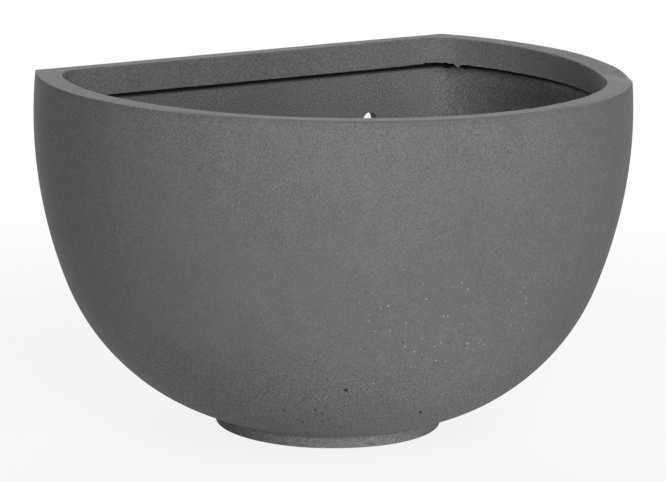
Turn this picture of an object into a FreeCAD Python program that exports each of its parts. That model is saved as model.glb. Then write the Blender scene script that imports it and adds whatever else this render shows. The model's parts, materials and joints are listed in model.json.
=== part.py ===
import FreeCAD, Part
import math
import os

import Sketcher

# A wall planter: a round bowl on a short round foot, sliced flat behind its axis so that it stands
# against a wall. A turned-in lip is bonded into its mouth, two holes through the flat back take the
# wall screws, and a rubber plug closes the drain hole in the foot.
# Frame: millimetres, +Z up, X along the wall, +Y towards the wall. The origin is the centre of the
# round foot's underside, on the axis of the bowl.

DIMENSIONS = {
    "bowl_radius": 250.0,
    "widest_height": 266.0,
    "rim_height": 300.0,
    "side_radius": 387.0,
    "belly_radius": 190.0,
    "foot_radius": 95.5,
    "back_offset": 130.0,
    "wall": 8.5,
    "back_wall": 8.5,
    "rim_edge_radius": 1.2,
    "back_edge_radius": 1.0,
    "cavity_corner_radius": 20.0,
    "foot_edge_radius": 1.5,
    "foot_cove_radius": 4.0,
    "foot_ring_width": 18.0,
    "recess_depth": 4.0,
    "lip_width": 13.5,
    "back_lip_width": 6.5,
    "lip_depth": 24.0,
    "lip_corner_radius": 40.0,
    "lip_top_radius": 1.2,
    "wall_hole_radius": 7.5,
    "wall_hole_spacing": 256.0,
    "wall_hole_drop": 71.0,
    "drain_radius": 12.5,
    "plug_clearance": 0.08,
    "plug_flange_radius": 20.0,
    "plug_flange_thickness": 4.0,
    "plug_flange_chamfer": 1.2,
    "plug_tip_chamfer": 1.0,
    "plug_bore_radius": 7.5,
    "plug_crown": 3.0,
}

START, END, CENTRE = 1, 2, 3
ORIGIN = (-1, START)
UP = FreeCAD.Vector(0, 0, 1)
TOUCH = 1e-4

doc = FreeCAD.newDocument("wall_planter")
sheet = doc.addObject("Spreadsheet::Sheet", "dims")
for row, (alias, value) in enumerate(DIMENSIONS.items(), start=1):
    sheet.set(f"A{row}", alias.replace("_", " "))
    sheet.set(f"B{row}", str(value))
    sheet.setAlias(f"B{row}", alias)
doc.recompute()


def size(alias):
    return float(getattr(sheet, alias))


def point(x, y):
    return FreeCAD.Vector(x, y, 0)


def new_body(name):
    return doc.addObject("PartDesign::Body", name)


def new_sketch(body, name, plane_role):
    plane = next(f for f in body.Origin.OriginFeatures if f.Role == plane_role)
    sketch = body.newObject("Sketcher::SketchObject", name)
    sketch.AttachmentSupport = [(plane, "")]
    sketch.MapMode = "FlatFace"
    return sketch


def add_line(sketch, start, end):
    return sketch.addGeometry(Part.LineSegment(start, end), False)


def add_arc(sketch, centre, radius, start, end, construction=False):
    from_centre = start - centre
    to_end = end - centre
    circle = Part.Circle(centre, UP, radius)
    first = math.atan2(from_centre.y, from_centre.x)
    last = math.atan2(to_end.y, to_end.x)
    return sketch.addGeometry(Part.ArcOfCircle(circle, first, last), construction)


def constrain(sketch, kind, *where):
    sketch.addConstraint(Sketcher.Constraint(kind, *where))


def dimension(sketch, name, expression, kind, *where):
    index = sketch.addConstraint(Sketcher.Constraint(kind, *where))
    sketch.renameConstraint(index, name)
    sketch.setExpression(f"Constraints.{name}", expression)


def join(sketch, *ends):
    """Each pair of (line, end) points in the list becomes one corner of the outline."""
    for first, second in ends:
        constrain(sketch, "Coincident", *first, *second)


def edge_names(shape, test):
    names = []
    for number, edge in enumerate(shape.Edges, start=1):
        points = [edge.valueAt(p) for p in (edge.FirstParameter, edge.LastParameter)]
        points.append(edge.valueAt((edge.FirstParameter + edge.LastParameter) / 2))
        if all(test(p) for p in points):
            names.append(f"Edge{number}")
    return names


def fillet(body, name, base, edges, radius_alias):
    feature = body.newObject("PartDesign::Fillet", name)
    feature.Base = (base, edges)
    feature.setExpression("Radius", f"dims.{radius_alias}")
    doc.recompute()
    return feature


def chamfer(body, name, base, edges, size_alias):
    feature = body.newObject("PartDesign::Chamfer", name)
    feature.Base = (base, edges)
    feature.setExpression("Size", f"dims.{size_alias}")
    doc.recompute()
    return feature


def revolve(body, name, profile):
    feature = body.newObject("PartDesign::Revolution", name)
    feature.Profile = profile
    feature.ReferenceAxis = (profile, ["V_Axis"])
    feature.Angle = 360.0
    profile.Visibility = False
    doc.recompute()
    return feature


def pocket(body, name, profile, through=True, reversed_way=True):
    """Cuts the profile out of the body; the volume has to fall, or the cut points the wrong way."""
    before = body.Shape.Volume
    feature = body.newObject("PartDesign::Pocket", name)
    feature.Profile = profile
    feature.Type = "ThroughAll" if through else "Length"
    feature.Reversed = reversed_way
    profile.Visibility = False
    doc.recompute()
    if not body.Shape.Volume < before:
        raise RuntimeError(f"{name} removes nothing")
    return feature


# The wall's two arcs: the side arc, upright at the widest height, and the belly arc, tangent to it
# and level at the bowl's underside, which is also the top of the recess under the foot. The numbers
# only start the sketches off close by.

side_centre = point(size("bowl_radius") - size("side_radius"), size("widest_height"))
reach = size("side_radius") - size("belly_radius")
belly_rise = size("recess_depth") + size("belly_radius")
belly_centre = point(side_centre.x + math.sqrt(reach**2 - (side_centre.y - belly_rise) ** 2), belly_rise)
to_belly = (belly_centre - side_centre).normalize()


def on_side_arc(inset, height):
    radius = size("side_radius") - inset
    rise = height - side_centre.y
    return point(side_centre.x + math.sqrt(radius**2 - rise**2), height)


def arc_joint(inset):
    return side_centre + to_belly * (size("side_radius") - inset)


def wall_arcs(sketch, low, high, construction=False):
    """The outer belly and side arcs between two points on them; returns their two numbers."""
    joint = arc_joint(0)
    belly = add_arc(sketch, belly_centre, size("belly_radius"), low, joint, construction)
    side = add_arc(sketch, side_centre, size("side_radius"), joint, high, construction)
    constrain(sketch, "Tangent", belly, END, side, START)
    dimension(sketch, "belly_radius", "dims.belly_radius", "Radius", belly, size("belly_radius"))
    dimension(sketch, "side_radius", "dims.side_radius", "Radius", side, size("side_radius"))
    dimension(sketch, "side_centre_x", "dims.side_radius - dims.bowl_radius",
              "DistanceX", side, CENTRE, *ORIGIN, -side_centre.x)
    dimension(sketch, "widest_height", "dims.widest_height",
              "DistanceY", *ORIGIN, side, CENTRE, side_centre.y)
    dimension(sketch, "belly_rise", "dims.recess_depth + dims.belly_radius",
              "DistanceY", *ORIGIN, belly, CENTRE, belly_rise)
    return belly, side


def slice_back(body, name, plane_y, expression):
    """Takes everything behind the upright plane y = plane_y off a turned body."""
    sketch = new_sketch(body, f"{name}_sketch", "XY_Plane")
    far = 2 * size("bowl_radius")
    corners = [point(-far, plane_y), point(far, plane_y), point(far, far), point(-far, far)]
    sides = [add_line(sketch, corners[i], corners[(i + 1) % 4]) for i in range(4)]
    join(sketch, *[((sides[i], END), (sides[(i + 1) % 4], START)) for i in range(4)])
    for number, way in enumerate(("Horizontal", "Vertical", "Horizontal", "Vertical")):
        constrain(sketch, way, sides[number])
    outside = "2 * dims.bowl_radius"
    dimension(sketch, "plane_y", expression, "DistanceY", *ORIGIN, sides[0], START, plane_y)
    dimension(sketch, "far_y", outside, "DistanceY", *ORIGIN, sides[2], START, far)
    dimension(sketch, "right", outside, "DistanceX", *ORIGIN, sides[0], END, far)
    dimension(sketch, "left", outside, "DistanceX", sides[0], START, *ORIGIN, far)
    return pocket(body, name, sketch)


def circle_sketch(body, name, radius, expression):
    """A circle round the bowl's axis, on the level that the foot stands on."""
    sketch = new_sketch(body, f"{name}_sketch", "XY_Plane")
    ring = sketch.addGeometry(Part.Circle(point(0, 0), UP, radius), False)
    join(sketch, ((ring, CENTRE), ORIGIN))
    dimension(sketch, "radius", expression, "Radius", ring, radius)
    return sketch


# Outer form of the shell: the turned bowl and foot with their rounds, sliced at the back.

rim_round = size("rim_edge_radius")
foot_round = size("foot_edge_radius")
foot_cove = size("foot_cove_radius")
rim_height = size("rim_height")
foot_radius = size("foot_radius")
rim_centre = on_side_arc(rim_round, rim_height - rim_round)
rim_low = rim_centre + (rim_centre - side_centre).normalize() * rim_round
cove_x = foot_radius + foot_cove
cove_drop = math.sqrt((size("belly_radius") + foot_cove) ** 2 - (cove_x - belly_centre.x) ** 2)
cove_centre = point(cove_x, belly_centre.y - cove_drop)
cove_top = cove_centre + (belly_centre - cove_centre).normalize() * foot_cove
foot_round_centre = point(foot_radius - foot_round, foot_round)

outer_form = new_body("outer_form")
profile = new_sketch(outer_form, "outer_profile", "XZ_Plane")
belly_arc, side_arc = wall_arcs(profile, cove_top, rim_low)
base_line = add_line(profile, point(0, 0), point(foot_round_centre.x, 0))
base_round = add_arc(profile, foot_round_centre, foot_round,
                     point(foot_round_centre.x, 0), point(foot_radius, foot_round))
foot_side = add_line(profile, point(foot_radius, foot_round), point(foot_radius, cove_centre.y))
cove_arc = add_arc(profile, cove_centre, foot_cove, cove_top, point(foot_radius, cove_centre.y))
rim_arc = add_arc(profile, rim_centre, rim_round, rim_low, point(rim_centre.x, rim_height))
top_line = add_line(profile, point(rim_centre.x, rim_height), point(0, rim_height))
axis_line = add_line(profile, point(0, rim_height), point(0, 0))
join(profile,
     ((base_line, START), ORIGIN),
     ((top_line, END), (axis_line, START)),
     ((axis_line, END), (base_line, START)))
for first, second in (((base_line, END), (base_round, START)),
                      ((base_round, END), (foot_side, START)),
                      ((foot_side, END), (cove_arc, END)),
                      ((cove_arc, START), (belly_arc, START)),
                      ((side_arc, END), (rim_arc, START)),
                      ((rim_arc, END), (top_line, START))):
    constrain(profile, "Tangent", *first, *second)
constrain(profile, "Horizontal", base_line)
constrain(profile, "Vertical", foot_side)
constrain(profile, "Horizontal", top_line)
constrain(profile, "Vertical", axis_line)
dimension(profile, "foot_radius", "dims.foot_radius",
          "DistanceX", *ORIGIN, foot_side, START, foot_radius)
dimension(profile, "foot_round", "dims.foot_edge_radius", "Radius", base_round, foot_round)
dimension(profile, "foot_cove", "dims.foot_cove_radius", "Radius", cove_arc, foot_cove)
dimension(profile, "rim_round", "dims.rim_edge_radius", "Radius", rim_arc, rim_round)
dimension(profile, "rim_height", "dims.rim_height", "DistanceY", *ORIGIN, top_line, END, rim_height)
revolve(outer_form, "turned_bowl", profile)
sliced = slice_back(outer_form, "flat_back", size("back_offset"), "dims.back_offset")


def on_back(p):
    return abs(p.y - size("back_offset")) < TOUCH


fillet(outer_form, "back_edges", sliced, edge_names(sliced.Shape, on_back), "back_edge_radius")

# Under the foot: a shallow recess leaves a ring to stand on, with the drain hole in its middle.

recess = circle_sketch(outer_form, "recess", foot_radius - size("foot_ring_width"),
                       "dims.foot_radius - dims.foot_ring_width")
recess_cut = pocket(outer_form, "recess", recess, through=False)
recess_cut.setExpression("Length", "dims.recess_depth")
drain = circle_sketch(outer_form, "drain_hole", size("drain_radius"), "dims.drain_radius")
pocket(outer_form, "drain_hole", drain)

# Two screw holes through the flat back, level with each other.

hole_height = rim_height - size("wall_hole_drop")
holes = new_sketch(outer_form, "wall_holes_sketch", "XZ_Plane")
for side_name, direction in (("left", -1), ("right", 1)):
    centre = point(direction * size("wall_hole_spacing") / 2, hole_height)
    hole = holes.addGeometry(Part.Circle(centre, UP, size("wall_hole_radius")), False)
    span = (hole, CENTRE, *ORIGIN) if direction < 0 else (*ORIGIN, hole, CENTRE)
    dimension(holes, f"{side_name}_radius", "dims.wall_hole_radius",
              "Radius", hole, size("wall_hole_radius"))
    dimension(holes, f"{side_name}_x", "dims.wall_hole_spacing / 2",
              "DistanceX", *span, abs(centre.x))
    dimension(holes, f"{side_name}_height", "dims.rim_height - dims.wall_hole_drop",
              "DistanceY", *ORIGIN, hole, CENTRE, hole_height)
pocket(outer_form, "wall_holes", holes, reversed_way=False)

# The space inside: the wall's arcs set in by the wall thickness, a flat floor and upright sides at
# the mouth, with a flat back of its own and coved corners.

cavity = new_body("cavity")
inner = new_sketch(cavity, "cavity_profile", "XZ_Plane")
wall = size("wall")
outer_belly, outer_side = wall_arcs(
    inner, belly_centre - point(0, size("belly_radius")), on_side_arc(0, side_centre.y), True)
inner_belly_radius = size("belly_radius") - wall
inner_joint = arc_joint(wall)
floor_end = belly_centre - point(0, inner_belly_radius)
mouth_foot = on_side_arc(wall, size("widest_height"))
mouth_top = point(mouth_foot.x, rim_height + size("lip_depth"))
inner_belly = add_arc(inner, belly_centre, inner_belly_radius, floor_end, inner_joint)
inner_side = add_arc(inner, side_centre, size("side_radius") - wall, inner_joint, mouth_foot)
floor_line = add_line(inner, point(0, floor_end.y), floor_end)
mouth_side = add_line(inner, mouth_foot, mouth_top)
mouth_line = add_line(inner, mouth_top, point(0, mouth_top.y))
middle_line = add_line(inner, point(0, mouth_top.y), point(0, floor_end.y))
join(inner,
     ((inner_belly, CENTRE), (outer_belly, CENTRE)),
     ((inner_side, CENTRE), (outer_side, CENTRE)),
     ((floor_line, END), (inner_belly, START)),
     ((inner_side, END), (mouth_side, START)),
     ((mouth_side, END), (mouth_line, START)),
     ((mouth_line, END), (middle_line, START)),
     ((middle_line, END), (floor_line, START)))
constrain(inner, "Tangent", inner_belly, END, inner_side, START)
for belly_part, side_part in ((outer_belly, outer_side), (inner_belly, inner_side)):
    constrain(inner, "Vertical", belly_part, START, belly_part, CENTRE)
    constrain(inner, "Horizontal", side_part, END, side_part, CENTRE)
constrain(inner, "Horizontal", floor_line)
constrain(inner, "Vertical", mouth_side)
constrain(inner, "Horizontal", mouth_line)
constrain(inner, "PointOnObject", middle_line, START, -2)
constrain(inner, "PointOnObject", middle_line, END, -2)
dimension(inner, "inner_belly_radius", "dims.belly_radius - dims.wall",
          "Radius", inner_belly, inner_belly_radius)
dimension(inner, "mouth_top", "dims.rim_height + dims.lip_depth",
          "DistanceY", *ORIGIN, mouth_line, END, mouth_top.y)
revolve(cavity, "turned_cavity", inner)
cavity_back = size("back_offset") - size("back_wall")
cavity_sliced = slice_back(cavity, "cavity_back", cavity_back, "dims.back_offset - dims.back_wall")


def on_cavity_back(p):
    return abs(p.y - cavity_back) < TOUCH


def on_mouth_top(p):
    return abs(p.z - mouth_top.y) < TOUCH


cavity_chain = [name for name in edge_names(cavity_sliced.Shape, on_cavity_back)
                if name not in edge_names(cavity_sliced.Shape, on_mouth_top)]
fillet(cavity, "cavity_corners", cavity_sliced, cavity_chain, "cavity_corner_radius")

shell = doc.addObject("Part::Cut", "shell")
shell.Base = outer_form
shell.Tool = cavity
doc.recompute()

# The turned-in lip: it fills the cavity's mouth down to its own depth, with an opening of the same
# D shape left in the middle.

opening = new_body("opening")
outline = new_sketch(opening, "opening_outline", "XY_Plane")
opening_radius = size("bowl_radius") - wall - size("lip_width")
opening_back = cavity_back - size("back_lip_width")
corner_x = math.sqrt(opening_radius**2 - opening_back**2)
left_corner = point(-corner_x, opening_back)
right_corner = point(corner_x, opening_back)
front_arc = add_arc(outline, point(0, 0), opening_radius, left_corner, right_corner)
back_line = add_line(outline, right_corner, left_corner)
join(outline,
     ((front_arc, CENTRE), ORIGIN),
     ((front_arc, END), (back_line, START)),
     ((back_line, END), (front_arc, START)))
constrain(outline, "Horizontal", back_line)
dimension(outline, "opening_radius", "dims.bowl_radius - dims.wall - dims.lip_width",
          "Radius", front_arc, opening_radius)
dimension(outline, "opening_back", "dims.back_offset - dims.back_wall - dims.back_lip_width",
          "DistanceY", *ORIGIN, back_line, START, opening_back)
opening_pad = opening.newObject("PartDesign::Pad", "opening_pad")
opening_pad.Profile = outline
opening_pad.setExpression("Length", "dims.rim_height + dims.lip_depth")
outline.Visibility = False
doc.recompute()


def on_opening_corner(p):
    return abs(p.y - opening_back) < TOUCH and abs(abs(p.x) - corner_x) < TOUCH


fillet(opening, "opening_corners", opening_pad, edge_names(opening_pad.Shape, on_opening_corner),
       "lip_corner_radius")

slab = doc.addObject("Part::Box", "lip_slab")
slab.setExpression("Length", "2 * dims.bowl_radius")
slab.setExpression("Width", "2 * dims.bowl_radius")
slab.setExpression("Height", "dims.lip_depth")
slab.setExpression("Placement.Base.x", "-dims.bowl_radius")
slab.setExpression("Placement.Base.y", "-dims.bowl_radius")
slab.setExpression("Placement.Base.z", "dims.rim_height - dims.lip_depth")
band = doc.addObject("Part::Common", "lip_band")
band.Base = cavity
band.Tool = slab
square_lip = doc.addObject("Part::Cut", "square_lip")
square_lip.Base = band
square_lip.Tool = opening
doc.recompute()


def on_opening_edge(p):
    """On the opening's upper edge, where hands and plants meet the lip."""
    inside = p.y < opening_back + TOUCH and math.hypot(p.x, p.y) < opening_radius + TOUCH
    return inside and abs(p.z - rim_height) < TOUCH


rim_lip = doc.addObject("Part::Fillet", "rim_lip")
rim_lip.Base = square_lip
rim_lip.Edges = [(int(name[len("Edge"):]), size("lip_top_radius"), size("lip_top_radius"))
                 for name in edge_names(square_lip.Shape, on_opening_edge)]

# The drain plug: a turned rubber stopper, hollow from below. Its flange lies on the bowl's floor, and
# its stem fills the drain hole, which is as deep as the wall is thick.

drain_plug = new_body("drain_plug")
turned = new_sketch(drain_plug, "plug_profile", "XZ_Plane")
stem_radius = size("drain_radius") - size("plug_clearance")
stem_end = -wall
flange_top = size("plug_flange_thickness")
bore_top = flange_top - size("plug_crown")
plug_points = [
    point(0, flange_top),
    point(0, bore_top),
    point(size("plug_bore_radius"), bore_top),
    point(size("plug_bore_radius"), stem_end),
    point(stem_radius, stem_end),
    point(stem_radius, 0),
    point(size("plug_flange_radius"), 0),
    point(size("plug_flange_radius"), flange_top),
]
count = len(plug_points)
plug_lines = [add_line(turned, plug_points[i], plug_points[(i + 1) % count]) for i in range(count)]
join(turned, *[((plug_lines[i], END), (plug_lines[(i + 1) % count], START)) for i in range(count)])
for number, line in enumerate(plug_lines):
    constrain(turned, "Horizontal" if number % 2 else "Vertical", line)
constrain(turned, "PointOnObject", plug_lines[0], START, -2)
constrain(turned, "PointOnObject", plug_lines[5], END, -1)
dimension(turned, "crown", "dims.plug_crown", "DistanceY", plug_lines[0], END, plug_lines[0], START,
          size("plug_crown"))
dimension(turned, "bore_radius", "dims.plug_bore_radius",
          "DistanceX", *ORIGIN, plug_lines[2], START, size("plug_bore_radius"))
dimension(turned, "stem_length", "dims.wall", "DistanceY", plug_lines[4], START, *ORIGIN, wall)
dimension(turned, "stem_radius", "dims.drain_radius - dims.plug_clearance",
          "DistanceX", *ORIGIN, plug_lines[4], START, stem_radius)
dimension(turned, "flange_radius", "dims.plug_flange_radius",
          "DistanceX", *ORIGIN, plug_lines[6], START, size("plug_flange_radius"))
dimension(turned, "flange_top", "dims.plug_flange_thickness",
          "DistanceY", *ORIGIN, plug_lines[7], END, flange_top)
plug_turned = revolve(drain_plug, "plug_turned", turned)


def on_flange_rim(p):
    return abs(p.z - flange_top) < TOUCH and math.hypot(p.x, p.y) > stem_radius


def on_stem_tip(p):
    return abs(p.z - stem_end) < TOUCH and abs(math.hypot(p.x, p.y) - stem_radius) < TOUCH


plug_top = chamfer(drain_plug, "flange_chamfer", plug_turned,
                   edge_names(plug_turned.Shape, on_flange_rim), "plug_flange_chamfer")
chamfer(drain_plug, "tip_chamfer", plug_top, edge_names(plug_top.Shape, on_stem_tip), "plug_tip_chamfer")
drain_plug.setExpression("Placement.Base.z", "dims.recess_depth + dims.wall")
doc.recompute()

nodes = [shell, rim_lip, drain_plug]
for item in doc.Objects:
    if "Invalid" in item.State or "Error" in item.State:
        raise RuntimeError(f"{item.Name} failed to build: {item.State}")
for node in nodes:
    if node.Shape.isNull() or not node.Shape.isValid():
        raise RuntimeError(f"{node.Label} has no valid shape")
    if len(node.Shape.Solids) != 1:
        raise RuntimeError(f"{node.Label} is not one solid")

os.makedirs("parts", exist_ok=True)
for node in nodes:
    node.Shape.exportStep(f"parts/{node.Label}.step")
    box = node.Shape.BoundBox
    print(f"{node.Label}: {node.Shape.Volume / 1000:.1f} cm3, {box}")
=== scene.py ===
import json
import math
from dataclasses import dataclass

import bmesh
import bpy
import numpy as np
from mathutils import Matrix, Vector
from mathutils.bvhtree import BVHTree


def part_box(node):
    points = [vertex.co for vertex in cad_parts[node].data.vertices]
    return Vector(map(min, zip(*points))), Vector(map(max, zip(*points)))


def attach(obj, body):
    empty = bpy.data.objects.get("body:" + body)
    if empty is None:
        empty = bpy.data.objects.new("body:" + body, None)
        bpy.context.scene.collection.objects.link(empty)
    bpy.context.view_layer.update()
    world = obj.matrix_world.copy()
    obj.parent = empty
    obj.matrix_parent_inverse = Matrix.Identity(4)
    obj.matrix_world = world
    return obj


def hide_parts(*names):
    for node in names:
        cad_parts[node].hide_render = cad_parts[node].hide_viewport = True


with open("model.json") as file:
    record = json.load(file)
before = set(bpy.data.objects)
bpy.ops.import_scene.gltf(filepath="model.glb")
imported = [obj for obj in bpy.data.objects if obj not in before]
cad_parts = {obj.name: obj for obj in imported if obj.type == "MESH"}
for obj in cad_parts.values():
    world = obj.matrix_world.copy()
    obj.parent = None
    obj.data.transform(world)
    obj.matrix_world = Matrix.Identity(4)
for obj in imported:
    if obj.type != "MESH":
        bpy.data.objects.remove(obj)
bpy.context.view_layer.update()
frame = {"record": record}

_, shell_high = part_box("shell")
lip_low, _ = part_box("rim_lip")
plug_low, plug_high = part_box("drain_plug")
wall_holes = next(mount for mount in frame["record"]["mounts"] if mount["name"] == "wall_holes")

# Sizes of the pot in metres. Those that the frame doesn't give repeat the part's own dimensions.

RIM_HEIGHT = shell_high.z
BACK = shell_high.y
BOWL_RADIUS = 0.250
WIDEST_HEIGHT = 0.266
SIDE_RADIUS = 0.387
BELLY_RADIUS = 0.190
WALL = 0.0085
RIM_ROUND = 0.0012
BACK_ROUND = 0.001
CAVITY_CORNER = 0.020
FOOT_RADIUS = 0.0955
FOOT_ROUND = 0.0015
FOOT_COVE = 0.004
FOOT_RING = 0.018
RECESS = 0.004
LIP_BOTTOM = lip_low.z
LIP_WIDTH = 0.0135
BACK_LIP_WIDTH = 0.0065
LIP_CORNER = 0.040
LIP_TOP_ROUND = 0.0012
WALL_HOLE_RADIUS = wall_holes["dims"]["hole_r_mm"] / 1000
WALL_HOLE_X = wall_holes["dims"]["spacing_x_mm"] / 2000
WALL_HOLE_HEIGHT = wall_holes["pos_m"][2]
DRAIN_RADIUS = 0.0125

INNER_BACK = BACK - WALL
MOUTH_RADIUS = BOWL_RADIUS - WALL
OPENING_RADIUS = MOUTH_RADIUS - LIP_WIDTH
OPENING_BACK = INNER_BACK - BACK_LIP_WIDTH
FLOOR_HEIGHT = RECESS + WALL
RIM_RADIUS = BOWL_RADIUS - SIDE_RADIUS + math.sqrt(SIDE_RADIUS**2 - (RIM_HEIGHT - WIDEST_HEIGHT) ** 2)

# The lip's hidden faces stay this far clear of the shell.

SNUG = 0.0001
HIDDEN_RADIUS = MOUTH_RADIUS - SNUG
HIDDEN_BACK = INNER_BACK - SNUG

# The photograph's camera: where it looks, from which side, and how far away.

PHOTO_WIDTH, PHOTO_HEIGHT = 666, 482
AIM = Vector((0.00198, -0.0001, 0.15523))
VIEW_AZIMUTH = math.radians(35.923)
VIEW_ELEVATION = math.radians(11.703)
VIEW_ROLL = math.radians(1.0414)
VIEW_DISTANCE = 3.0
LENS_MM, SENSOR_MM = 192.45, 36.0


def photo_axes():
    """The camera's place and its right, up and forward directions."""
    flat = math.cos(VIEW_ELEVATION)
    forward = Vector((math.sin(VIEW_AZIMUTH) * flat, math.cos(VIEW_AZIMUTH) * flat,
                      -math.sin(VIEW_ELEVATION)))
    level_right = Vector((math.cos(VIEW_AZIMUTH), -math.sin(VIEW_AZIMUTH), 0.0))
    level_up = level_right.cross(forward)
    right = level_right * math.cos(VIEW_ROLL) + level_up * math.sin(VIEW_ROLL)
    up = level_up * math.cos(VIEW_ROLL) - level_right * math.sin(VIEW_ROLL)
    return AIM - forward * VIEW_DISTANCE, right, up, forward


def pixel_ray(x, y):
    """The camera's place and the direction in which it sees a pixel of the photograph."""
    place, right, up, forward = photo_axes()
    focal = LENS_MM / SENSOR_MM * PHOTO_WIDTH
    across = (x + 0.5 - PHOTO_WIDTH / 2) / focal
    rise = (PHOTO_HEIGHT / 2 - y - 0.5) / focal
    return place, (forward + right * across + up * rise).normalized()


# Columns round a ring: close together at the two rear corners, then evenly spread. The steps, in metres,
# are those between the columns of the shell and of the lip, and between the rings of an arc.

EDGE_STEPS_MM = [0.0, 0.14, 0.28, 0.42, 0.56, 1.0, 1.8, 3.0, 4.5, 6.5, 8.5, 10.5, 12.5,
                 15.0, 17.5, 20.5, 24.5]
SHELL_STEP, LIP_STEP, RING_STEP = 0.0052, 0.0009, 0.0052


def shares(length, step):
    """Places from 0 to 1 along a stretch, with the close steps at both ends where they are finer."""
    near = np.array(EDGE_STEPS_MM) / 1000
    near = near[: 1 + np.count_nonzero(np.diff(near) < step)]
    middle = np.linspace(near[-1], length / 2, round((length / 2 - near[-1]) / step) + 1)[1:]
    half = np.concatenate([near, middle])
    return np.concatenate([half, length - half[-2::-1]]) / length


def columns(step):
    """The places along the arc and along the back chord, spaced for the rim's own size."""
    corner = math.asin(BACK / RIM_RADIUS)
    arc = RIM_RADIUS * (math.pi + 2 * corner)
    chord = 2 * RIM_RADIUS * math.cos(corner)
    return shares(arc, step), shares(chord, step)


# Lengths below which a point counts as level with something, or as on an outline.

ON_LEVEL, ON_OUTLINE = 1e-6, 1e-7

# How a point finds the round of a rear corner: away from the corner it goes inwards by at most this share
# of the radius, halving the way each time. The limit keeps a wall in line with the back from dividing by 0.

ROUND_TRAVEL, HALVINGS, COSINE_LIMIT = 0.9, 30, 0.99999


@dataclass
class Ring:
    """One level of a turned wall: a circle, cut straight at the back where it reaches that far.

    The corner is the radius of its two rear corners. The arc is that of the wall's section, if it has one:
    its centre's distance from the axis and height, and its radius.
    """

    radius: float
    height: float
    back: float = BACK
    corner: float = BACK_ROUND
    arc: tuple = None

    @property
    def is_cut(self):
        return self.radius > self.back + ON_LEVEL


def outside(points, ring):
    """How far points lie outside the ring's outline, with its rear corners rounded off."""
    reach = np.hypot(points[:, 0], points[:, 1])
    wall = reach - ring.radius
    lean = 1.0
    if ring.arc:
        centre_r, centre_z, arc_radius = ring.arc
        from_arc = np.hypot(reach - centre_r, ring.height - centre_z)
        wall = from_arc - arc_radius
        lean = (reach - centre_r) / from_arc
    back = points[:, 1] - ring.back
    cosine = np.clip(lean * points[:, 1] / reach, -COSINE_LIMIT, COSINE_LIMIT)
    a = wall + ring.corner
    b = back + ring.corner
    in_round = (a - b * cosine > 0) & (b - a * cosine > 0)
    span = np.sqrt(np.maximum(a * a + b * b - 2 * a * b * cosine, 0) / (1 - cosine**2))
    return np.where(in_round, span - ring.corner, np.maximum(wall, back))


def rounded(points, ring):
    """Moves points near a rear corner inwards, on to a round that touches the wall and the back."""
    reach = np.hypot(points[:, 0], points[:, 1])[:, None]
    inward = points / reach
    travel = np.full(len(points), ROUND_TRAVEL * ring.corner)
    if ring.is_cut:
        hub_y = ring.back - ring.corner
        hub_x = math.sqrt((ring.radius - ring.corner) ** 2 - hub_y**2)
        on_chord = np.abs(points[:, 0]) <= hub_x
        at_corner = ~on_chord & (points[:, 1] * hub_x > np.abs(points[:, 0]) * hub_y)
        to_hub = points - np.column_stack([np.copysign(hub_x, points[:, 0]), np.full(len(points), hub_y)])
        span = np.linalg.norm(to_hub, axis=1)
        behind = on_chord & (points[:, 1] > ring.back - ON_LEVEL)
        inward[behind] = (0.0, 1.0)
        inward[at_corner] = to_hub[at_corner] / span[at_corner][:, None]
        travel[at_corner] = span[at_corner]
    low = np.zeros(len(points))
    high = travel
    moves = outside(points, ring) > ON_OUTLINE
    for _ in range(HALVINGS):
        middle = (low + high) / 2
        still_out = outside(points - inward * middle[:, None], ring) > 0
        low = np.where(still_out, middle, low)
        high = np.where(still_out, high, middle)
    return np.where(moves[:, None], points - inward * high[:, None], points)


def at_height(points, height):
    return np.column_stack([points, np.full(len(points), height)])


def ring_points(ring, arc_shares, chord_shares):
    """The ring's arc from the left rear corner round the front to the right one, and its back chord."""
    corner = math.asin(ring.back / ring.radius) if ring.is_cut else math.pi / 2
    angles = math.pi - corner + (math.pi + 2 * corner) * arc_shares
    arc = ring.radius * np.stack([np.cos(angles), np.sin(angles)], -1)
    half = ring.radius * math.cos(corner)
    xs = half - 2 * half * chord_shares[1:-1] if ring.is_cut else np.zeros(0)
    chord = np.stack([xs, np.full(len(xs), ring.back)], -1)
    if ring.radius > ring.back - ring.corner:
        arc = rounded(arc, ring)
        chord = rounded(chord, ring)
    return at_height(arc, ring.height), at_height(chord, ring.height)


def loft(rings, step):
    """A closed skin through a closed loop of rings: returns its points and faces."""
    points, faces, marks, total = [], [], [], 0
    places = columns(step)
    for ring in rings:
        arc, chord = ring_points(ring, *places)
        if not ring.is_cut:
            arc = arc[:-1]
        numbers = list(range(total, total + len(arc)))
        back = list(range(total + len(arc), total + len(arc) + len(chord)))
        total += len(arc) + len(chord)
        points += [arc, chord]
        if ring.is_cut:
            marks.append((numbers, [numbers[-1], *back, numbers[0]]))
        else:
            marks.append((numbers + numbers[:1], None))
    for (arc_a, back_a), (arc_b, back_b) in zip(marks, marks[1:] + marks[:1]):
        faces += [(arc_a[i], arc_a[i + 1], arc_b[i + 1], arc_b[i]) for i in range(len(arc_a) - 1)]
        if back_a and back_b:
            faces += [(back_a[i], back_a[i + 1], back_b[i + 1], back_b[i]) for i in range(len(back_a) - 1)]
        elif back_a or back_b:
            chord, seam = (back_a, arc_b[0]) if back_a else (back_b, arc_a[0])
            faces += [(chord[i], chord[i + 1], seam) for i in range(len(chord) - 1)]
    return np.concatenate(points), faces


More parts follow.
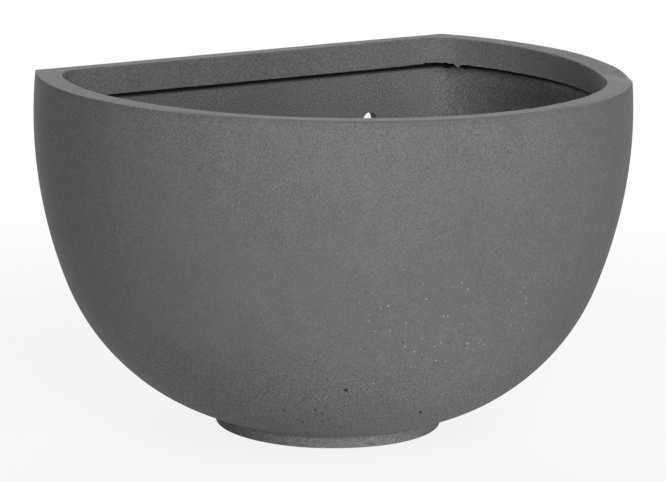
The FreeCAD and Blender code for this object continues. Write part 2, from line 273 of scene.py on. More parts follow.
def new_piece(name, points, faces):
    mesh = bpy.data.meshes.new(name)
    mesh.from_pydata([tuple(p) for p in points], [], faces)
    bm = bmesh.new()
    bm.from_mesh(mesh)
    bmesh.ops.recalc_face_normals(bm, faces=bm.faces)
    bm.to_mesh(mesh)
    bm.free()
    piece = bpy.data.objects.new(name, mesh)
    bpy.context.collection.objects.link(piece)
    return piece


# The wall's arcs, as in the part: the side arc is upright at the widest height, the belly arc touches it
# and lies level at the top of the recess.

SIDE_CENTRE = (BOWL_RADIUS - SIDE_RADIUS, WIDEST_HEIGHT)
BELLY_RISE = RECESS + BELLY_RADIUS
ARC_REACH = SIDE_RADIUS - BELLY_RADIUS
BELLY_CENTRE = (SIDE_CENTRE[0] + math.sqrt(ARC_REACH**2 - (WIDEST_HEIGHT - BELLY_RISE) ** 2), BELLY_RISE)
JOINT_ANGLE = math.atan2(BELLY_RISE - WIDEST_HEIGHT, BELLY_CENTRE[0] - SIDE_CENTRE[0])

# The hollow between foot and belly, which touches both, and the round of the rim's outer edge.

FOOT_COVE_R = FOOT_RADIUS + FOOT_COVE
FOOT_COVE_DROP = math.sqrt((BELLY_RADIUS + FOOT_COVE) ** 2 - (FOOT_COVE_R - BELLY_CENTRE[0]) ** 2)
FOOT_COVE_CENTRE = (FOOT_COVE_R, BELLY_RISE - FOOT_COVE_DROP)
FOOT_COVE_ANGLE = math.atan2(FOOT_COVE_DROP, BELLY_CENTRE[0] - FOOT_COVE_R)
RIM_ARC_RADIUS = SIDE_RADIUS - RIM_ROUND
RIM_ANGLE = math.asin((RIM_HEIGHT - RIM_ROUND - WIDEST_HEIGHT) / RIM_ARC_RADIUS)
RIM_CENTRE = (SIDE_CENTRE[0] + RIM_ARC_RADIUS * math.cos(RIM_ANGLE), RIM_HEIGHT - RIM_ROUND)

# How far the extra rings lie from the level where the flat back begins, along the arc and to both sides.

TANGENT_STEPS = (0.0, 0.00016, 0.00032, 0.00048, 0.00064, 0.0012, 0.0022)

# How many rings each stretch of the sections has, and where those on the rim's top and on the lip lie.

RECESS_ROWS, FOOT_ROWS, FOOT_EDGE_ROWS, FOOT_COVE_ROWS = 8, 2, 7, 6
EDGE_ROWS, MOUTH_ROWS, FLOOR_ROWS, DRAIN_ROWS, LIP_TOP_ROWS = 8, 6, 6, 2, 10
RIM_TOP_SHARES = (0.35, 0.7, 1.0)
LIP_FACE_ABOVE_MM = (21.0, 19.0, 16.0, 12.0, 8.0, 5.5, 3.5, 2.0, 1.0)
LIP_UNDERSIDE_SHARES = (0.0, 0.08, 0.2, 0.45, 0.75, 1.0)
LIP_HIDDEN_ABOVE_MM = (8.0, 16.0)


def mix(first, second, share):
    return first + (second - first) * share


def arc_point(centre, radius, angle):
    return centre[0] + radius * math.cos(angle), centre[1] + radius * math.sin(angle)


def arc_rings(centre, radius, first, last, back=BACK, corner=BACK_ROUND):
    """Rings along an arc of the section, closer together where the flat back begins."""
    angles = list(np.linspace(first, last, round(abs(last - first) * radius / RING_STEP) + 1))
    low, high = sorted((first, last))
    touch = (back - centre[0]) / radius
    if abs(touch) < 1 and low < -math.acos(touch) < high:
        begin = -math.acos(touch)
        close = {begin + side * step / radius for step in TANGENT_STEPS for side in (-1, 1)}
        margin = 2 * TANGENT_STEPS[-1] / radius
        angles = [a for a in angles if abs(a - begin) > margin] + list(close)
        angles.sort(reverse=last < first)
    return [Ring(*arc_point(centre, radius, a), back, corner, (*centre, radius)) for a in angles]


def small_arc(centre, radius, first, last, count):
    """Rings round a small edge of the section."""
    return [Ring(*arc_point(centre, radius, a)) for a in np.linspace(first, last, count)]


def level_rings(start, end, count, **cut):
    """Evenly spaced rings on a straight line of the section, between its ends."""
    return [Ring(*place, **cut) for place in np.linspace(start, end, count + 2)[1:-1]]


def foot_rings():
    """From the drain hole out under the foot, round the foot's edge and up to the belly."""
    ring_inner = FOOT_RADIUS - FOOT_RING
    edge_centre = (FOOT_RADIUS - FOOT_ROUND, FOOT_ROUND)
    rings = [Ring(DRAIN_RADIUS, RECESS)]
    rings += level_rings((DRAIN_RADIUS, RECESS), (ring_inner, RECESS), RECESS_ROWS)
    rings += [Ring(ring_inner, RECESS), Ring(ring_inner, 0.0)]
    rings += level_rings((ring_inner, 0.0), (edge_centre[0], 0.0), FOOT_ROWS)
    rings += small_arc(edge_centre, FOOT_ROUND, -math.pi / 2, 0.0, FOOT_EDGE_ROWS)
    rings += level_rings((FOOT_RADIUS, FOOT_ROUND), (FOOT_RADIUS, FOOT_COVE_CENTRE[1]), FOOT_ROWS)
    return rings + small_arc(FOOT_COVE_CENTRE, FOOT_COVE, math.pi, FOOT_COVE_ANGLE, FOOT_COVE_ROWS)


def side_rings():
    """Up the outside from the foot, round the rim's outer edge and over its top to the lip."""
    rings = arc_rings(BELLY_CENTRE, BELLY_RADIUS, FOOT_COVE_ANGLE - math.pi, JOINT_ANGLE)[1:]
    rings += arc_rings(SIDE_CENTRE, SIDE_RADIUS, JOINT_ANGLE, RIM_ANGLE)[1:]
    for angle in np.linspace(RIM_ANGLE, math.pi / 2, EDGE_ROWS)[1:]:
        inset = RIM_ROUND * (1 - math.cos(angle))
        rings.append(Ring(*arc_point(RIM_CENTRE, RIM_ROUND, angle), BACK - inset))
    edge = rings[-1]
    rings += [Ring(mix(edge.radius, MOUTH_RADIUS, share), RIM_HEIGHT, mix(edge.back, INNER_BACK, share),
                   mix(BACK_ROUND, CAVITY_CORNER, share)) for share in RIM_TOP_SHARES]
    return rings


def cavity_rings():
    """Down the inside from the rim to the floor, and through the drain hole."""
    inside = dict(back=INNER_BACK, corner=CAVITY_CORNER)
    drain_edge = (DRAIN_RADIUS, FLOOR_HEIGHT)
    rings = level_rings((MOUTH_RADIUS, RIM_HEIGHT), (MOUTH_RADIUS, WIDEST_HEIGHT), MOUTH_ROWS, **inside)
    rings += arc_rings(SIDE_CENTRE, SIDE_RADIUS - WALL, 0.0, JOINT_ANGLE, **inside)
    rings += arc_rings(BELLY_CENTRE, BELLY_RADIUS - WALL, JOINT_ANGLE, -math.pi / 2, **inside)[1:]
    rings += level_rings((BELLY_CENTRE[0], FLOOR_HEIGHT), drain_edge, FLOOR_ROWS, **inside)
    rings += [Ring(*drain_edge, **inside)]
    return rings + level_rings(drain_edge, (DRAIN_RADIUS, RECESS), DRAIN_ROWS, **inside)


def lip_rings():
    """The lip's section: over its top to the opening, down its face, under it and up its hidden side."""
    inner_r = OPENING_RADIUS + LIP_TOP_ROUND
    inner_back = OPENING_BACK + LIP_TOP_ROUND
    rings = [Ring(mix(MOUTH_RADIUS, inner_r, share), RIM_HEIGHT, mix(INNER_BACK, inner_back, share),
                  mix(CAVITY_CORNER, LIP_CORNER, share)) for share in np.linspace(0.0, 1.0, LIP_TOP_ROWS)]
    for angle in np.linspace(0.0, math.pi / 2, EDGE_ROWS)[1:]:
        inset = LIP_TOP_ROUND * (1 - math.sin(angle))
        drop = LIP_TOP_ROUND * (1 - math.cos(angle))
        rings.append(Ring(OPENING_RADIUS + inset, RIM_HEIGHT - drop, OPENING_BACK + inset, LIP_CORNER))
    rings += [Ring(OPENING_RADIUS, LIP_BOTTOM + above / 1000, OPENING_BACK, LIP_CORNER)
              for above in LIP_FACE_ABOVE_MM]
    rings += [Ring(mix(OPENING_RADIUS, HIDDEN_RADIUS, share), LIP_BOTTOM,
                   mix(OPENING_BACK, HIDDEN_BACK, share), mix(LIP_CORNER, CAVITY_CORNER, share))
              for share in LIP_UNDERSIDE_SHARES]
    rings += [Ring(HIDDEN_RADIUS, LIP_BOTTOM + above / 1000, HIDDEN_BACK, CAVITY_CORNER)
              for above in LIP_HIDDEN_ABOVE_MM]
    return rings


def points_of(mesh):
    return np.array([v.co for v in mesh.vertices])


def normals_of(mesh):
    return np.array([v.normal for v in mesh.vertices])


def move_points(mesh, points):
    mesh.vertices.foreach_set("co", points.ravel())
    mesh.update()


def angle_round(points):
    """The angle round the axis in degrees: 0 on the right, 90 at the back."""
    return np.degrees(np.arctan2(points[:, 1], points[:, 0]))


def bell(distance, half):
    """1 at no distance, falling to nothing on both sides."""
    return np.exp(-((distance / half) ** 2))


def ramp(distance, slope):
    """A soft step up from 0 to 1 where the distance passes 0."""
    return 0.5 + 0.5 * np.tanh(distance / slope)


def stretch(angle, first, last, slope):
    """1 between two angles and 0 outside them, with soft ends."""
    return ramp(angle - first, slope) * ramp(last - angle, slope)


def fade(distance, reach):
    """1 at no distance, falling evenly to 0 at the reach."""
    return np.clip(1 - distance / reach, 0, 1)


# Hand finish: slow unevenness of the cast, in waves of several lengths. It only goes inwards, by a middle
# depth and a swing that are shares of UNEVEN, so that the pot keeps its size.

WAVES, WAVE_SEED = 14, 7
WAVE_SHORTEST, WAVE_LONGEST, WAVE_LIMIT = 0.05, 0.22, 1.4
UNEVEN, UNEVEN_MIDDLE, UNEVEN_SWING = 0.00035, 0.5, 0.35

rng = np.random.default_rng(WAVE_SEED)
wave_way = rng.normal(size=(WAVES, 3))
wave_way /= np.linalg.norm(wave_way, axis=1)[:, None]
wave_way *= (2 * math.pi / rng.uniform(WAVE_SHORTEST, WAVE_LONGEST, WAVES))[:, None]
wave_start = rng.uniform(0, 2 * math.pi, WAVES)

# The rim sags a little at its right end, where the lip is wider and the outer edge is chipped. Places are
# angles round the axis in degrees, with half widths or the widths of the slopes at their ends.

SAG_ANGLE, SAG_TO_BACK, SAG_TO_FRONT, SAG_DROP, SAG_BELOW = -30.0, 22.0, 10.0, 0.0022, 0.10
WIDE_BACK, WIDE_BACK_SLOPE, WIDE_FRONT, WIDE_FRONT_SLOPE, WIDE_INWARD = 12.0, 10.0, -35.0, 9.0, 0.0038
CHIP_ANGLE, CHIP_HALF, CHIP_DROP, CHIP_WIDTH, CHIP_BELOW = -32.0, 5.7, 0.0017, 0.018, 0.012


def shape_right_end(points):
    """Lowers the rim by its sag and its chip, and draws the lip's inner edge further inwards."""
    angle = angle_round(points)
    reach = np.hypot(points[:, 0], points[:, 1])
    from_top = RIM_HEIGHT - points[:, 2]
    sag = bell(angle - SAG_ANGLE, np.where(angle > SAG_ANGLE, SAG_TO_BACK, SAG_TO_FRONT))
    sag *= fade(from_top, SAG_BELOW) * SAG_DROP
    near_edge = fade(np.abs(RIM_RADIUS - reach), CHIP_WIDTH)
    chip = bell(angle - CHIP_ANGLE, CHIP_HALF) * CHIP_DROP * fade(from_top, CHIP_BELOW)
    chip *= near_edge**2 * (3 - 2 * near_edge)
    inward = ramp(WIDE_BACK - angle, WIDE_BACK_SLOPE) * ramp(angle - WIDE_FRONT, WIDE_FRONT_SLOPE)
    inward *= WIDE_INWARD * fade(from_top, RIM_HEIGHT - LIP_BOTTOM)
    inward *= np.clip((MOUTH_RADIUS - reach) / LIP_WIDTH, 0, 1)
    points[:, 2] -= sag + chip
    points[:, :2] *= 1 - (inward / reach)[:, None]


def unevenness(points):
    waves = np.sin(points @ wave_way.T + wave_start).mean(1) * math.sqrt(WAVES)
    return UNEVEN * (UNEVEN_MIDDLE + UNEVEN_SWING * np.clip(waves, -WAVE_LIMIT, WAVE_LIMIT))


def make_uneven(mesh):
    """Presses the surface in a little, the rim's top straight down. The joint of lip and shell stays."""
    points = points_of(mesh)
    normals = normals_of(mesh)
    reach = np.hypot(points[:, 0], points[:, 1])
    on_top = points[:, 2] > RIM_HEIGHT - ON_LEVEL
    from_joint = np.minimum(np.abs(reach - MOUTH_RADIUS), np.abs(points[:, 1] - INNER_BACK))
    in_joint = (points[:, 2] > LIP_BOTTOM) & (from_joint < 2 * SNUG) & ~on_top
    normals[on_top] = (0.0, 0.0, 1.0)
    normals[in_joint] = 0.0
    points -= normals * unevenness(points)[:, None]
    shape_right_end(points)
    move_points(mesh, points)


# Ragged lower edge of the lip: a fine wander all along it, and near the right rear corner a stretch of
# broken edge, a hanging drip and nicks, the last one wide and shallow. Places are angles round the axis, in
# degrees, and a nick is its place, half width and rise. Above the edge and behind it the raggedness fades.

BROKEN_FROM, BROKEN_TO, BROKEN_RISE, BREAK_SLOPE = 27.6, 31.7, 0.0008, 0.24
DRIP_ANGLE, DRIP_STEEP, DRIP_GENTLE, DRIP_DROP = 25.1, 0.42, 0.68, 0.0032
NICKS = [(32.0, 0.28, 0.0018), (27.8, 0.22, 0.0010), (24.0, 12.0, 0.0008)]
RAGGED_REACH, RAGGED_POWER = 0.006, 1.5

# The wander's size in metres, its half width round the drip and its share far from there. Each wave has a
# height, radians per metre along the edge and a start. The middle one swells and fades.

WANDER, WANDER_HALF, WANDER_FAR = 0.0003, 14.0, 0.2
LONG_WAVE, MIDDLE_WAVE, SHORT_WAVE = (0.5, 420.0, 1.3), (0.4, 911.0, 0.0), (0.3, 1730.0, 2.0)
SWELL_WAVE = (1.0, 73.0, 0.4)


def wave(along, height, turns, start):
    return height * np.sin(along * turns + start)


def wander(angle):
    along = np.radians(angle) * OPENING_RADIUS
    swelling = wave(along, *MIDDLE_WAVE) * wave(along, *SWELL_WAVE)
    waves = wave(along, *LONG_WAVE) + swelling + wave(along, *SHORT_WAVE)
    return waves * WANDER * (WANDER_FAR + bell(angle - DRIP_ANGLE, WANDER_HALF))


def ragged(points):
    """How far the lower edge moves up or down at each point."""
    angle = angle_round(points)
    rise = wander(angle) + BROKEN_RISE * stretch(angle, BROKEN_FROM, BROKEN_TO, BREAK_SLOPE)
    rise += sum(height * bell(angle - place, half) for place, half, height in NICKS)
    drip_half = np.where(angle > DRIP_ANGLE, DRIP_GENTLE, DRIP_STEEP)
    return rise - DRIP_DROP * bell(angle - DRIP_ANGLE, drip_half)


def make_lip_ragged(mesh):
    points = points_of(mesh)
    inner = np.hypot(points[:, 0], points[:, 1]) - OPENING_RADIUS
    inner = np.minimum(inner, 0) + np.maximum(inner, points[:, 1] - OPENING_BACK)
    near_edge = fade(points[:, 2] - LIP_BOTTOM, RAGGED_REACH) ** RAGGED_POWER
    points[:, 2] += ragged(points) * near_edge * fade(inner, RAGGED_REACH)
    move_points(mesh, points)


# Pits in the cast surface: pixel in the photograph, half width and half height as seen there, and depth,
# in metres. The last two are dents in the wall just under the lip, where there is shade; the dark middles
# of all of them are painted shade.

PITS = [
    (345.1, 390.8, 0.0021, 0.0017, 0.0020),
    (305.6, 432.2, 0.0022, 0.0008, 0.0014),
    (420.0, 412.4, 0.0015, 0.0014, 0.0012),
    (435.5, 415.0, 0.0010, 0.0008, 0.0008),
    (314.4, 409.8, 0.0010, 0.0010, 0.0010),
    (321.5, 413.5, 0.0010, 0.0009, 0.0010),
    (327.7, 419.5, 0.0010, 0.0010, 0.0010),
    (321.4, 421.5, 0.0010, 0.0009, 0.0010),
    (302.3, 421.8, 0.0012, 0.0008, 0.0009),
    (297.0, 419.8, 0.0009, 0.0008, 0.0008),
    (283.0, 410.7, 0.0010, 0.0010, 0.0009),
    (244.0, 418.5, 0.0009, 0.0008, 0.0008),
    (319.4, 427.0, 0.0008, 0.0007, 0.0008),
    (340.0, 427.0, 0.0008, 0.0007, 0.0008),
    (424.0, 433.5, 0.0010, 0.0010, 0.0009),
    (464.2, 67.4, 0.0028, 0.0020, 0.0020),
    (446.5, 66.6, 0.0050, 0.0013, 0.0010),
]

# How far from a pit its surface is looked at; how many pit sizes the two rounds of finer faces reach, with
# their margin and their cuts; and how many half widths from its middle a pit ends.

PIT_REACH = 0.008
PIT_FINER, PIT_MARGIN, PIT_CUTS = (4.5, 1.4), 0.001, 3
PIT_END = 1.25


def refined(piece, spots):
    """Divides the faces round each spot finely enough to carry its pit."""
    bm = bmesh.new()
    bm.from_mesh(piece.data)
    for reach in PIT_FINER:
        bm.faces.ensure_lookup_table()
        chosen = set()
        for place, half_width, half_height, *_ in spots:
            limit = min(reach * max(half_width, half_height), PIT_REACH) + PIT_MARGIN
            chosen.update(f for f in bm.faces if (f.calc_center_median() - place).length < limit
                          or any((v.co - place).length < limit for v in f.verts))
        edges = {e for f in chosen for e in f.edges}
        bmesh.ops.subdivide_edges(bm, edges=list(edges), cuts=PIT_CUTS, use_grid_fill=True)
    return bm


def add_pits(piece):
    """Presses each pit of the list into the wall, where the photograph's pixel meets it."""
    tree = BVHTree.FromPolygons([v.co for v in piece.data.vertices],
                                [tuple(p.vertices) for p in piece.data.polygons])
    spots = []
    for x, y, half_width, half_height, depth in PITS:
        place, normal, *_ = tree.ray_cast(*pixel_ray(x, y))
        spots.append((place, half_width, half_height, depth, normal))
    bm = refined(piece, spots)
    pit_layer = bm.verts.layers.float.new("pit")
    _, right, up, _ = photo_axes()
    for place, half_width, half_height, depth, normal in spots:
        for vert in bm.verts:
            offset = vert.co - place
            if offset.length > PIT_REACH:
                continue
            share = math.hypot(offset.dot(right) / half_width, offset.dot(up) / half_height) / PIT_END
            if share < 1:
                press = (1 - share**2) ** 2
                vert.co -= normal * depth * press
                vert[pit_layer] = max(vert[pit_layer], press)
    bm.to_mesh(piece.data)
    bm.free()


HOLE_SIDES = 64


def cut_wall_holes(piece):
    """Bores the two screw holes through the flat back."""
    bm = bmesh.new()
    turn = Matrix.Rotation(math.pi / 2, 4, "X")
    for side in (-1, 1):
        place = Matrix.Translation((side * WALL_HOLE_X, BACK - WALL / 2, WALL_HOLE_HEIGHT))
        bmesh.ops.create_cone(bm, cap_ends=True, segments=HOLE_SIDES, radius1=WALL_HOLE_RADIUS,
                              radius2=WALL_HOLE_RADIUS, depth=4 * WALL, matrix=place @ turn)
    mesh = bpy.data.meshes.new("hole_cutter")
    bm.to_mesh(mesh)
    bm.free()
    cutter = bpy.data.objects.new("hole_cutter", mesh)
    bpy.context.collection.objects.link(cutter)
    cut = piece.modifiers.new("wall_holes", "BOOLEAN")
    cut.operation = "DIFFERENCE"
    cut.solver = "EXACT"
    cut.object = cutter
    depsgraph = bpy.context.evaluated_depsgraph_get()
    bored = bpy.data.meshes.new_from_object(piece.evaluated_get(depsgraph))
    piece.modifiers.clear()
    piece.data = bored
    bpy.data.objects.remove(cutter)
    bpy.data.meshes.remove(mesh)


SHARP_ANGLE = math.radians(38.0)


def shade(piece):
    """Smooth shading, with the edges that turn sharply left crisp."""
    piece.data.shade_smooth()
    piece.data.set_sharp_from_angle(angle=SHARP_ANGLE)


def set_attribute(mesh, name, values):
    layer = mesh.attributes.new(name, "FLOAT", "POINT")
    layer.data.foreach_set("value", np.clip(values, 0, 1).astype(np.float32))


# Edges rubbed pale, which also carry a painted highlight: how wide the pale band is, its share along the
# rim, and the stretches of the lip's lower edge that show it, as angles round the axis.

EDGE_WEAR_AND_HIGHLIGHT, LOWER_EDGE_WEAR_AND_HIGHLIGHT, RIM_WEAR_AND_HIGHLIGHT = 0.0008, 0.0014, 0.15
RUBBED_AND_HIGHLIGHT_STRETCHES = [(27.8, 31.6), (22.9, 24.5), (17.6, 21.4)]

# A point in the middle of the bowl's mouth, and what counts as the rim's top: how much it faces upwards
# and how far below the rim it may lie.

BOWL_MIDDLE = (0.0, 0.0, 0.25)
TOP_UPWARDS, TOP_BELOW = 0.6, 0.02

# How far the painted shade of the undercut reaches below the lip at the front and at the back, and the
# distances behind the axis between which it changes.

FRONT_UNDERCUT, BACK_UNDERCUT, UNDERCUT_FRONT, UNDERCUT_REAR = 0.0108, 0.0066, -0.06, 0.07

# The stretch of the front, as angles round the axis, where the shell's own edge gets painted shade, darker
# than the lip.

FRONT_SHADE_FROM, FRONT_SHADE_TO, FRONT_SHADE_SLOPE = -152.0, -74.0, 7.0


def mark_wear_and_highlight(piece):
    """Marks the edges that are rubbed pale and carry a painted highlight. The hand finish comes later and
    carries the marks along.
    """
    points = points_of(piece.data)
    angle = angle_round(points)
    reach = np.hypot(points[:, 0], points[:, 1])
    from_round = np.abs(RIM_RADIUS - RIM_ROUND / 2 - reach)
    from_back = np.abs(BACK - RIM_ROUND / 2 - points[:, 1])
    from_mouth = np.maximum(reach - OPENING_RADIUS, points[:, 1] - OPENING_BACK)
    from_mouth = np.abs(from_mouth - LIP_TOP_ROUND / 3)
    rim_edges = bell(np.minimum(from_round, from_back), EDGE_WEAR_AND_HIGHLIGHT) + bell(from_mouth, EDGE_WEAR_AND_HIGHLIGHT)
    rim_edges *= RIM_WEAR_AND_HIGHLIGHT * bell(RIM_HEIGHT - points[:, 2], EDGE_WEAR_AND_HIGHLIGHT)
    lower_edge = bell(points[:, 2] - LIP_BOTTOM, LOWER_EDGE_WEAR_AND_HIGHLIGHT) * bell(from_mouth, EDGE_WEAR_AND_HIGHLIGHT)
    lower_edge *= sum(stretch(angle, first, last, BREAK_SLOPE) for first, last in RUBBED_AND_HIGHLIGHT_STRETCHES)
    set_attribute(piece.data, "wear_and_highlight", rim_edges + lower_edge)


def mark_sides(piece):
    """Marks the inside of the pot, which is left rougher and gets painted light and shade, and the rim's
    top, which gets painted light.
    """
    points = points_of(piece.data)
    normals = normals_of(piece.data)
    faces_in = ((np.array(BOWL_MIDDLE) - points) * normals).sum(1) > 0
    on_top = (normals[:, 2] > TOP_UPWARDS) & (RIM_HEIGHT - points[:, 2] < TOP_BELOW)
    set_attribute(piece.data, "inside", faces_in & (points[:, 2] > FLOOR_HEIGHT / 2) & ~on_top)
    set_attribute(piece.data, "top", on_top)


def mark_shell(piece):
    """Marks how far down the wall the painted shade under the lip reaches, in metres, and the front edge
    that gets painted shade.
    """
    points = points_of(piece.data)
    reach_down = np.interp(points[:, 1], (UNDERCUT_FRONT, UNDERCUT_REAR), (FRONT_UNDERCUT, BACK_UNDERCUT))
    set_attribute(piece.data, "undercut", reach_down)
    set_attribute(piece.data, "front_edge_shade", stretch(angle_round(points), FRONT_SHADE_FROM, FRONT_SHADE_TO, FRONT_SHADE_SLOPE))


class Nodes:
    """The node tree of a material or world, with short ways to add and link its nodes."""

    def __init__(self, owner):
        self.owner = owner
        owner.use_nodes = True
        self.tree = owner.node_tree
        self.tree.nodes.clear()

    def add(self, kind, inputs=None, **settings):
        node = self.tree.nodes.new(kind)
        for key, value in settings.items():
            setattr(node, key, value)
        for key, value in (inputs or {}).items():
            if isinstance(value, bpy.types.NodeSocket):
                self.tree.links.new(value, node.inputs[key])
            else:
                node.inputs[key].default_value = value
        return node

    def mark(self, name):
        """A value that was set on the mesh."""
        return self.add("ShaderNodeAttribute", attribute_name=name).outputs["Fac"]

    def math(self, operation, first, second=0.0, third=0.0):
        return self.add("ShaderNodeMath", {0: first, 1: second, 2: third}, operation=operation).outputs[0]

    def product(self, first, *others):
        for other in others:
            first = self.math("MULTIPLY", first, other)
        return first

    def noise(self, where, scale, detail, roughness):
        inputs = {"Vector": where, "Scale": scale, "Detail": detail, "Roughness": roughness}
        return self.add("ShaderNodeTexNoise", inputs).outputs["Fac"]

    def remap(self, value, low, high, to_low, to_high, smooth=False):
        inputs = {"Value": value, "From Min": low, "From Max": high, "To Min": to_low, "To Max": to_high}
        kind = "SMOOTHSTEP" if smooth else "LINEAR"
        return self.add("ShaderNodeMapRange", inputs, interpolation_type=kind).outputs[0]

    def dots(self, where, scale, radius, soft, keep, faintest):
        """Round dots at random places, some faint and some clear. Radius and soft are shares of a cell."""
        cells = self.add("ShaderNodeTexVoronoi", {"Vector": where, "Scale": scale, "Randomness": 1.0})
        dot = self.remap(cells.outputs["Distance"], radius, radius + soft, 1.0, 0.0, True)
        lottery = self.add("ShaderNodeSeparateColor", {"Color": cells.outputs["Color"]})
        kept = self.math("LESS_THAN", lottery.outputs[0], keep)
        strength = self.remap(lottery.outputs[1], 0.0, 1.0, faintest, 1.0)
        return self.product(dot, kept, strength)

    def blend(self, first, second, share):
        """first where share is 0, second where it is 1."""
        gap = self.math("SUBTRACT", second, first)
        return self.math("MULTIPLY_ADD", gap, share, first)

    def skin(self, tone, rough, height, bump_strength, specular):
        """A matt surface whose relief is given in metres."""
        bump = self.add("ShaderNodeBump", {"Height": height, "Strength": bump_strength, "Distance": 1.0})
        inputs = {"Base Color": tone, "Roughness": rough, "Specular IOR Level": specular}
        return self.add("ShaderNodeBsdfPrincipled", {**inputs, "Normal": bump.outputs["Normal"]})

    def finish(self, shader, output_kind="ShaderNodeOutputMaterial"):
        self.add(output_kind, {"Surface": shader.outputs[0]})
        return self.owner


# The stone's finish. A NOISE is its scale per metre, detail and roughness, and VALUES are those of it that
# count as lowest and highest. DOTS are their number per metre, radius and soft edge as shares of a cell, the
# share kept and the faintest one's strength. A BAND is two places, in metres, between which a tone changes:
# across the pot, towards its back, up from the ground or away from the specks. DEPTHS are below the lip.

NOISE_VALUES = (0.3, 0.7)
STONE_GREY, STONE_BUMP, STONE_SPECULAR = 0.170, 0.8, 0.3
CLOUD_NOISE, CLOUD_SWING = (11.0, 4.0, 0.6), 0.045
PATCH_NOISE, PATCH_SWING = (75.0, 3.0, 0.6), 0.05
DIMPLE_NOISE, DIMPLE_DEPTH = (190.0, 3.0, 0.55), 0.00022
ROUGH_NOISE, ROUGH_LEAST, ROUGH_MOST = (130.0, 3.0, 0.6), 0.80, 0.93

# Painted light and shade on the inside, as shares of the stone's grey: from left to right, of the lip at
# the right, of the back wall towards its corner, and of the right wall from low to high, with its lift
# and its front.

INSIDE_BAND, INSIDE_LEFT, INSIDE_RIGHT = (-0.02, 0.14), 0.92, 1.25
RIGHT_LIP_BAND, RIGHT_LIP = (0.205, 0.235), 1.12
BACK_WALL_BAND, BACK_WALL, BACK_CORNER = (0.14, 0.21), 0.96, 1.10
RIGHT_WALL_BAND = (0.207, 0.240)
RIGHT_WALL_DEPTHS, RIGHT_WALL_LOW, RIGHT_WALL_HIGH = (0.020, 0.004), 0.57, 1.12
LIFT_DEPTHS, LIFT_BAND, RIGHT_WALL_LIFT = (0.014, 0.003), (0.055, 0.015), 0.9
RIGHT_FRONT_BAND, RIGHT_WALL_FRONT = (0.02, -0.03), 1.8

# Painted light and shade on the rim: its top lighter, less so towards the right end and darker where the
# front edge is shaded, and a painted shadow line below its outer edge, with its depth.

RIM_BAND, RIM_PALER, RIM_RIGHT, RIM_FRONT_SHADE = (0.10, 0.22), 1.16, 1.02, 0.67
RIM_LINE, RIM_SHADE = 0.90, 0.0065

# The grain, and how coarse it is: in patches, near the rim, low down, on the inner wall and on the lip.

GRAIN_NOISE, GRAIN_VALUES, GRAIN_SWING, GRAIN_DEPTH = (880.0, 3.0, 0.7), (0.2, 0.8), 0.46, 0.00016
COARSE_NOISE, COARSE_VALUES, COARSE_LEAST, COARSE_MOST = (14.0, 2.0, 0.5), (0.35, 0.65), 0.9, 1.2
COARSE_TOP_BAND, COARSE_TOP = (0.21, 0.29), 0.45
COARSE_LOW_BAND, COARSE_LOW = (0.12, 0.06), 1.2
COARSE_DEPTHS, COARSE_WALL, COARSE_LIP = (0.001, 0.0), 2.6, 1.7

# Rubbed edges with their painted highlight, and painted light round the foot.

RUBBED_AND_HIGHLIGHT_NOISE, RUBBED_AND_HIGHLIGHT_LEAST, RUBBED_AND_HIGHLIGHT_PALER = (260.0, 3.0, 0.6), 0.3, 0.30
FOOT_LIGHT_BAND, FOOT_PAINTED_LIGHT = (0.0125, 0.0075), 0.6

# Pale specks gather round one place low on the front, and are few high up, at the foot and on the left.

SPECK_DOTS, SPECK_GREY = (185.0, 0.095, 0.04, 0.8, 0.15), 0.64
SPECK_NOISE, SPECK_VALUES, SPECK_GAPS = (22.0, 2.0, 0.5), (0.30, 0.48), 0.25
SPECK_CLUSTER, SPECK_CLUSTER_BAND, SPECK_FAR = (-0.072, -0.180, 0.090), (0.05, 0.18), 0.3
SPECK_TOP_BAND, SPECK_TOP = (0.21, 0.15), 0.1
SPECK_FOOT_BAND, SPECK_FOOT = (0.03, 0.06), 0.15
SPECK_LEFT_BAND, SPECK_LEFT = (-0.145, -0.085), 0.12

# Painted shade: in the dark pinholes, in the pits' dark middles, and under the lip by shares of the
# undercut's depth.

PINHOLE_DOTS, PINHOLE_SHADE_GREY, PINHOLE_PAINTED_SHADE, PINHOLE_DEPTH = (200.0, 0.12, 0.06, 0.5, 0.2), 0.03, 0.8, 0.0006
PINHOLE_BAND, PINHOLE_HIGH_UP = (0.05, 0.20), 0.4
PIT_SHARES, PIT_SHADE_GREY, PIT_PAINTED_SHADE = (0.15, 0.8), 0.012, 0.92
UNDERCUT_FROM, UNDERCUT_SHARES, UNDERCUT_GREY, UNDERCUT_DARK = 0.02, (0.45, 1.0), 0.003, 0.97


class StonePoint:
    """Where a point of the stone lies, and the marks set on the mesh there."""

    def __init__(self, n):
        self.where = n.add("ShaderNodeTexCoord").outputs["Object"]
        place = n.add("ShaderNodeSeparateXYZ", {"Vector": self.where})
        self.across = place.outputs["X"]
        self.towards_back = place.outputs["Y"]
        self.height = place.outputs["Z"]
        self.below_lip = n.math("SUBTRACT", LIP_BOTTOM, self.height)
        self.inside = n.mark("inside")
        self.top = n.mark("top")
        self.wear_and_highlight = n.mark("wear_and_highlight")
        self.pit = n.mark("pit")
        self.undercut = n.mark("undercut")
        self.front_edge_shade = n.mark("front_edge_shade")


